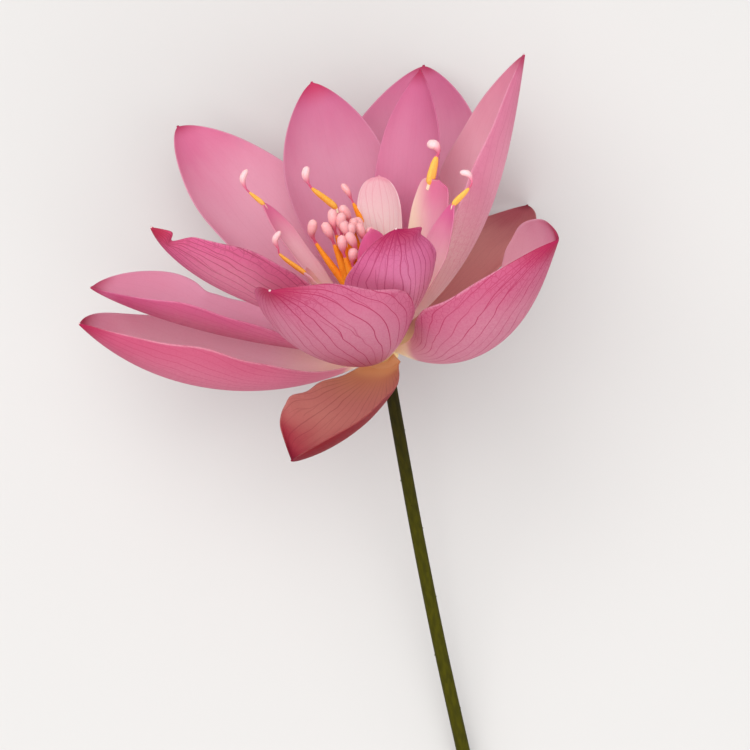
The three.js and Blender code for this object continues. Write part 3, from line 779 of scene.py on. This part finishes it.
PETALOID_FINISHES = {
    "petaloid_tall_right": {"Cream lean": -26.0, "Inner cream": 36.0},
    "petaloid_right": {
        "Inner deep": (230, 110, 168), "Outer deep": (228, 102, 164), "Cream lean": 8.0, "Inner cream": 36.0,
    },
    "petaloid_cream": {
        "Inner": (255, 250, 246), "Inner deep": (254, 222, 226), "Base": (255, 250, 238),
        "Tip": (244, 176, 194), "Vein": (220, 130, 150), "Inner cream": 42.0, "Inner veins": 0.3,
        "Vein count": 9.0, "Net strength": 0.4, "Kink": 0.06,
    },
    "petaloid_low": {"Inner": (240, 144, 186), "Outer": (240, 138, 184), "Outer deep": (230, 108, 166)},
    "petaloid_left_long": {
        "Inner": (254, 218, 226), "Inner deep": (230, 116, 166), "Outer": (252, 208, 218),
        "Outer deep": (224, 104, 158),
    },
    "petaloid_left_short": {
        "Inner": (255, 224, 224), "Outer": (255, 220, 222), "Tip": (250, 200, 210), "Inner cream": 40.0,
        "Outer cream": 40.0,
    },
}
# The form that the petaloids share, where their own doesn't differ.
PETALOID_FORM = {"cup": (40, 35, 30), "foot": 1.2, "belly": 0.7, "point": 0.6, "shoulder": 1.6, "wave": 0.2}
BASE_OPENING = 12  # how much wider a petaloid opens at its base than at its middle
TIP_CLOSING = 8

for seed, (name, given) in enumerate(PETALOIDS.items()):
    turn, lean, twist = given["turn"], given["lean"], given["twist"]
    petal = {**PETALOID_FORM, **given, "turn": (turn, turn, turn), "twist": (0, twist, twist),
             "lean": (lean + BASE_OPENING, lean, lean - TIP_CLOSING)}
    values = {**PETALOID_FINISH, **PETALOID_FINISHES.get(name, {}), "Seed": 30.0 + seed}
    made = blade_object("fine_" + name, petal, PETALOID_ROWS, PETALOID_COLUMNS, PETALOID_RADIUS,
                        petal_finish("finish_" + name, **values))
    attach(made, "root")
    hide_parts(name)
    if "leaves" in given:
        share, s = given["leaves"]
        shares = np.array([share - ANTHER_ROOT, share])
        on_blade, _ = blade_middle(petal, shares, np.array([[s]]), PETALOID_RADIUS)
        run = [on_blade[0, 0], on_blade[1, 0]]
        for step in (given["anther"], given["neck"], *given["club"]):
            run.append(run[-1] + np.array(step) @ head_place)
        run, stretch = smooth_run(run, STRETCH_STEPS)
        stretch = np.where(stretch > 3, 3 + (stretch - 3) / 2, stretch)
        finish = orange_stamen if name == "petaloid_cream" else yellow_stamen
        anther = stamen_object("anther_of_" + name, [(run, stretch)], given["girth"], finish)
        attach(anther, "root")

# ---------- the stamens ----------
# The tuft in the middle: thin cream filaments that stand round the receptacle, each with a long orange
# anther and a pale pink club. They lean together to the flower's left, and one strays from the tuft.

FOOT_RADIUS = 3.3  # inside the collar
FOOT_HEIGHT = 14
KNEE_RADIUS = 5.05  # where a filament turns upwards
KNEE_HEIGHT = 20
TUFT_LEAN = 2  # how far to the flower's left the middle of the tuft stands
CLUB_TURNS = (20, 300, 70, 330, 110, 250)  # the ways in which the clubs bend, in turn
TUFT_GIRTH = 1.2
CLUB_LINE = ((-2.6, -0.5), (0, 0.2), (2.2, 1))  # from its middle, up and the way it bends
STAMEN_PLACES = 72
ORGAN_SHARES = (0, 0.12, 0.78, 0.82, 1)  # where filament, anther, neck and club begin, and the club's end

# The middle of each club in the flower's frame: to the right, to the back and up.
CLUBS = [(-5, -4, 40), (-2, -4, 40.5), (-2, 1, 41), (-3.2, 1, 42.5), (-4, 2, 44.5), (-2, 6, 45),
         (-6, 3, 45.5), (-8, 1, 43), (-1, 4, 41), (1, 3, 39.5), (-12.3, 3, 44), (3, 1, 36), (2, -3, 34),
         (4, 4, 37), (-3, -5, 36), (1, 6, 40)]


def tuft_runs():
    """Each stamen's run from the receptacle out to the collar and up to its club."""
    runs = []
    for index, club in enumerate(CLUBS):
        ray = outward(np.degrees(np.arctan2(club[0] + TUFT_LEAN, club[1])))
        axis = np.array([0, 0, 1.0])
        foot = ray * FOOT_RADIUS + axis * FOOT_HEIGHT
        knee = ray * KNEE_RADIUS + axis * KNEE_HEIGHT
        bend = outward(np.array(float(CLUB_TURNS[index % len(CLUB_TURNS)])))
        line = [np.array(club, float) + axis * high + bend * aside for high, aside in CLUB_LINE]
        run, _ = smooth_run([foot, knee, *line], 20)
        reach = np.concatenate([[0], np.cumsum(np.linalg.norm(np.diff(run, axis=0), axis=1))])
        even = np.linspace(0, 1, STAMEN_PLACES)
        run = np.stack([np.interp(even, reach / reach[-1], run[:, axis]) for axis in range(3)], axis=-1)
        runs.append((run, np.interp(even, ORGAN_SHARES, range(5))))
    return runs


tuft = stamen_object("stamen_tuft", tuft_runs(), TUFT_GIRTH, orange_stamen)
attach(tuft, "root")
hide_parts("stamens")

# ---------- the receptacle ----------
# The fleshy cone in the middle that everything grows from, pale yellow-green. Its flat top holds a few
# round carpels, each set a little way into it.

# The outline from the bottom to the top, as radius and height.
RECEPTACLE = [(2.4, -0.9), (3.3, -0.7), (3.7, 0.2), (3.8, 1.5), (3.8, 9), (3.8, 16), (3.9, 17.6),
              (3.75, 18.5), (3.3, 18.9), (2.4, 18.75), (1.2, 18.8)]
RECEPTACLE_SIDES = 64
CARPEL_RADIUS = 0.75
CARPEL_FOOT = 18.2
CARPEL_HEIGHT = 1.5
# Each carpel's distance from the middle and its bearing.
CARPELS = [(0.0, 0.0)] + [(2.3, 60 * index) for index in range(6)]


def receptacle_finish():
    made, tree, shader = new_material("receptacle_finish")
    place = add_node(tree, "TexCoord").outputs["Object"]
    patch = noise(tree, place, 260.0, 4.0)
    flesh = mixed(tree, rise(tree, patch, 0.3, 0.7), colour(240, 212, 158), colour(232, 200, 140))
    top = mixed(tree, rise(tree, patch, 0.3, 0.7), colour(226, 208, 132), colour(206, 196, 104))
    height = stored(tree, "height", "Fac")
    skin = mixed(tree, rise(tree, height, 12.0, 17.0), flesh, top)
    tree.links.new(skin, shader.inputs["Base Color"])
    tree.links.new(rise(tree, patch, 0.2, 0.8, 0.4, 0.6), shader.inputs["Roughness"])
    add_bump(tree, shader, patch, 0.3, 0.2)
    shader.inputs["Subsurface Weight"].default_value = 0.2
    shader.inputs["Subsurface Scale"].default_value = 0.002
    return made


def receptacle_mesh():
    """The turned cone, closed at both ends."""
    outline, _ = smooth_run([(radius, height, 0) for radius, height in RECEPTACLE], 4)
    angles = 2 * np.pi * np.arange(RECEPTACLE_SIDES) / RECEPTACLE_SIDES
    rings = [np.stack([radius * np.cos(angles), radius * np.sin(angles), 0 * angles + height], axis=-1)
             for radius, height, _ in outline]
    points = np.concatenate(rings + [[[0, 0, outline[0, 1]], [0, 0, outline[-1, 1]]]])
    faces = []
    for i in range(len(rings) - 1):
        faces += band(i * RECEPTACLE_SIDES, (i + 1) * RECEPTACLE_SIDES, RECEPTACLE_SIDES)
    faces += [face[::-1] for face in fan(len(points) - 2, 0, RECEPTACLE_SIDES)]
    faces += fan(len(points) - 1, (len(rings) - 1) * RECEPTACLE_SIDES, RECEPTACLE_SIDES)
    return points, faces


points, faces = receptacle_mesh()
count = len(points)
shares = np.linspace(0, 1, 10)
for radius, turn in CARPELS:
    foot = outward(np.array(float(turn))) * radius + np.array([0, 0, CARPEL_FOOT])
    dome = foot + np.array([0, 0, CARPEL_HEIGHT]) * shares[:, None]
    dome_points, dome_faces = round_rod(dome, CARPEL_RADIUS * np.sqrt(1.02 - shares**3), 14)
    points = np.concatenate([points, dome_points])
    faces += [tuple(index + count for index in face) for face in dome_faces]
    count += len(dome_points)
receptacle = new_object("fine_receptacle", to_world(points), faces, receptacle_finish())
receptacle.data.attributes.new("height", "FLOAT", "POINT").data.foreach_set("value", points[:, 2].copy())
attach(receptacle, "root")
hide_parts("receptacle")

# ---------- the stalk ----------
# The round stalk, with fine ridges along it and a few low prickles. Its olive is partly painted shade, and
# painted shade darkens it towards the flower, under the flower's head. Its cut end shows the ring of air
# channels that run through every lotus stalk.

STALK_RUN = [(0.1, -1.4, -0.7), (4.6, -26.5, -14), (9.9, -55, -28), (16.6, -88, -40.5), (24, -121, -50.5),
             (30.5, -150, -57.7)]
STALK_TOP_RADIUS = 1.8
STALK_END_RADIUS = 2.15
STALK_FLARE = 0.9  # how much wider it is where it meets the flower
STALK_FLARE_LENGTH = 2.5
STALK_RIDGES = 12
RIDGE_HEIGHT = 0.012  # as a share of the radius
STALK_RINGS = 40
STALK_SIDES = 96
CUT_RINGS = 28
CUT_REACH = 5  # the cut face is marked by this much more than the stalk's length
CHANNEL_DEPTH = 1.6
CHANNEL_EDGE = 0.04
CHANNELS = ((8, 0.56, 0.15), (8, 0.84, 0.06))  # how many, their distance and size as shares of the radius
PRICKLES = 34
PRICKLE_SPIRAL = 37  # how many of the stalk's sides apart they stand
PRICKLE_HEIGHTS = (-0.3, 0.05, 0.28)  # from the stalk's surface
PRICKLE_RADII = (0.34, 0.22, 0.06)


def stalk_finish():
    made, tree, shader = new_material("stalk_finish")
    measures = separated(tree, stored(tree, "stalk", "Vector"))
    spot = combined(tree, times(tree, measures["X"], 5.0), times(tree, measures["Y"], 0.12))
    streak = noise(tree, spot, 2.0, 4.0)
    # Painted shade: the olive is kept darker than the stalk's own colour, and turns darker still near the
    # flower, standing in for the shade under the flower's head.
    green = mixed(tree, rise(tree, streak, 0.3, 0.7), colour(55, 53, 0), colour(70, 67, 2))
    shadowed_olive = mixed(tree, rise(tree, streak, 0.3, 0.7), colour(32, 27, 2), colour(43, 37, 4))
    skin = mixed(tree, rise(tree, measures["Y"], 0.0, 75.0), shadowed_olive, green)
    skin = mixed(tree, rise(tree, measures["Y"], 167.0, 169.0), skin, colour(196, 194, 138))
    tree.links.new(skin, shader.inputs["Base Color"])
    tree.links.new(rise(tree, streak, 0.2, 0.8, 0.5, 0.66), shader.inputs["Roughness"])
    add_bump(tree, shader, streak, 0.3, 0.2)
    shader.inputs["Specular IOR Level"].default_value = 0.07
    return made


def ridged(angles):
    return 1 + RIDGE_HEIGHT * np.cos(STALK_RIDGES * angles)


def channel_depth(share, angles):
    """How deep the cut face is sunk, by a ring of wide channels and one of fine ones."""
    depth = np.zeros(len(angles))
    for index, (count, ring, size) in enumerate(CHANNELS):
        turned = (angles + index * np.pi / count) % (2 * np.pi / count) - np.pi / count
        away = np.hypot(share - ring * np.cos(turned), ring * np.sin(turned))
        depth = np.maximum(depth, CHANNEL_DEPTH * np.clip((size - away) / CHANNEL_EDGE + 0.5, 0, 1))
    return depth


run, _ = smooth_run(STALK_RUN, STALK_RINGS)
reach = np.concatenate([[0], np.cumsum(np.linalg.norm(np.diff(run, axis=0), axis=1))])
radii = np.interp(reach, [0, STALK_FLARE_LENGTH, reach[-1]],
                  [STALK_TOP_RADIUS + STALK_FLARE, STALK_TOP_RADIUS, STALK_END_RADIUS])
points, faces = round_rod(run, radii, STALK_SIDES, ridged)
stalk_reach = np.append(np.repeat(reach, STALK_SIDES), [0, reach[-1]])

# The cut end: rings that close in on its middle.
centre = len(points) - 1
faces = [face for face in faces if centre not in face]
last_ring = points[-2 - STALK_SIDES : -2]
forward = (run[-1] - run[-2]) / np.linalg.norm(run[-1] - run[-2])
around = 2 * np.pi * np.arange(STALK_SIDES) / STALK_SIDES
before = centre - 1 - STALK_SIDES
for share in np.linspace(1, 0, CUT_RINGS, endpoint=False)[1:]:
    ring = run[-1] + (last_ring - run[-1]) * share - np.outer(channel_depth(share, around), forward)
    faces += band(before, len(points), STALK_SIDES)
    before = len(points)
    points = np.concatenate([points, ring])
faces += fan(centre, before, STALK_SIDES)
stalk_reach = np.append(stalk_reach, np.full(len(points) - len(stalk_reach), reach[-1] + CUT_REACH))

# The prickles, on a slow spiral round the stalk.
for index in range(PRICKLES):
    at = int(len(run) * (0.06 + 0.9 * index / PRICKLES))
    ring = points[at * STALK_SIDES : (at + 1) * STALK_SIDES]
    out = ring[index * PRICKLE_SPIRAL % STALK_SIDES] - run[at]
    out = out / np.linalg.norm(out)
    spine = run[at] + np.outer(radii[at] + np.array(PRICKLE_HEIGHTS), out)
    spine_points, spine_faces = round_rod(spine, PRICKLE_RADII, 8)
    faces += [tuple(corner + len(points) for corner in face) for face in spine_faces]
    points = np.concatenate([points, spine_points])
    stalk_reach = np.append(stalk_reach, np.full(len(spine_points), reach[at]))

stalk = new_object("fine_stalk", (points + HEAD_AT) * MM, faces, stalk_finish())
angles = np.zeros(len(points))
angles[: len(run) * STALK_SIDES] = np.tile(np.arange(STALK_SIDES) / STALK_SIDES, len(run))
measure = np.stack([angles, stalk_reach, np.zeros(len(points))], axis=-1)
stalk.data.attributes.new("stalk", "FLOAT_VECTOR", "POINT").data.foreach_set("vector", measure.ravel())
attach(stalk, "root")
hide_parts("stalk")
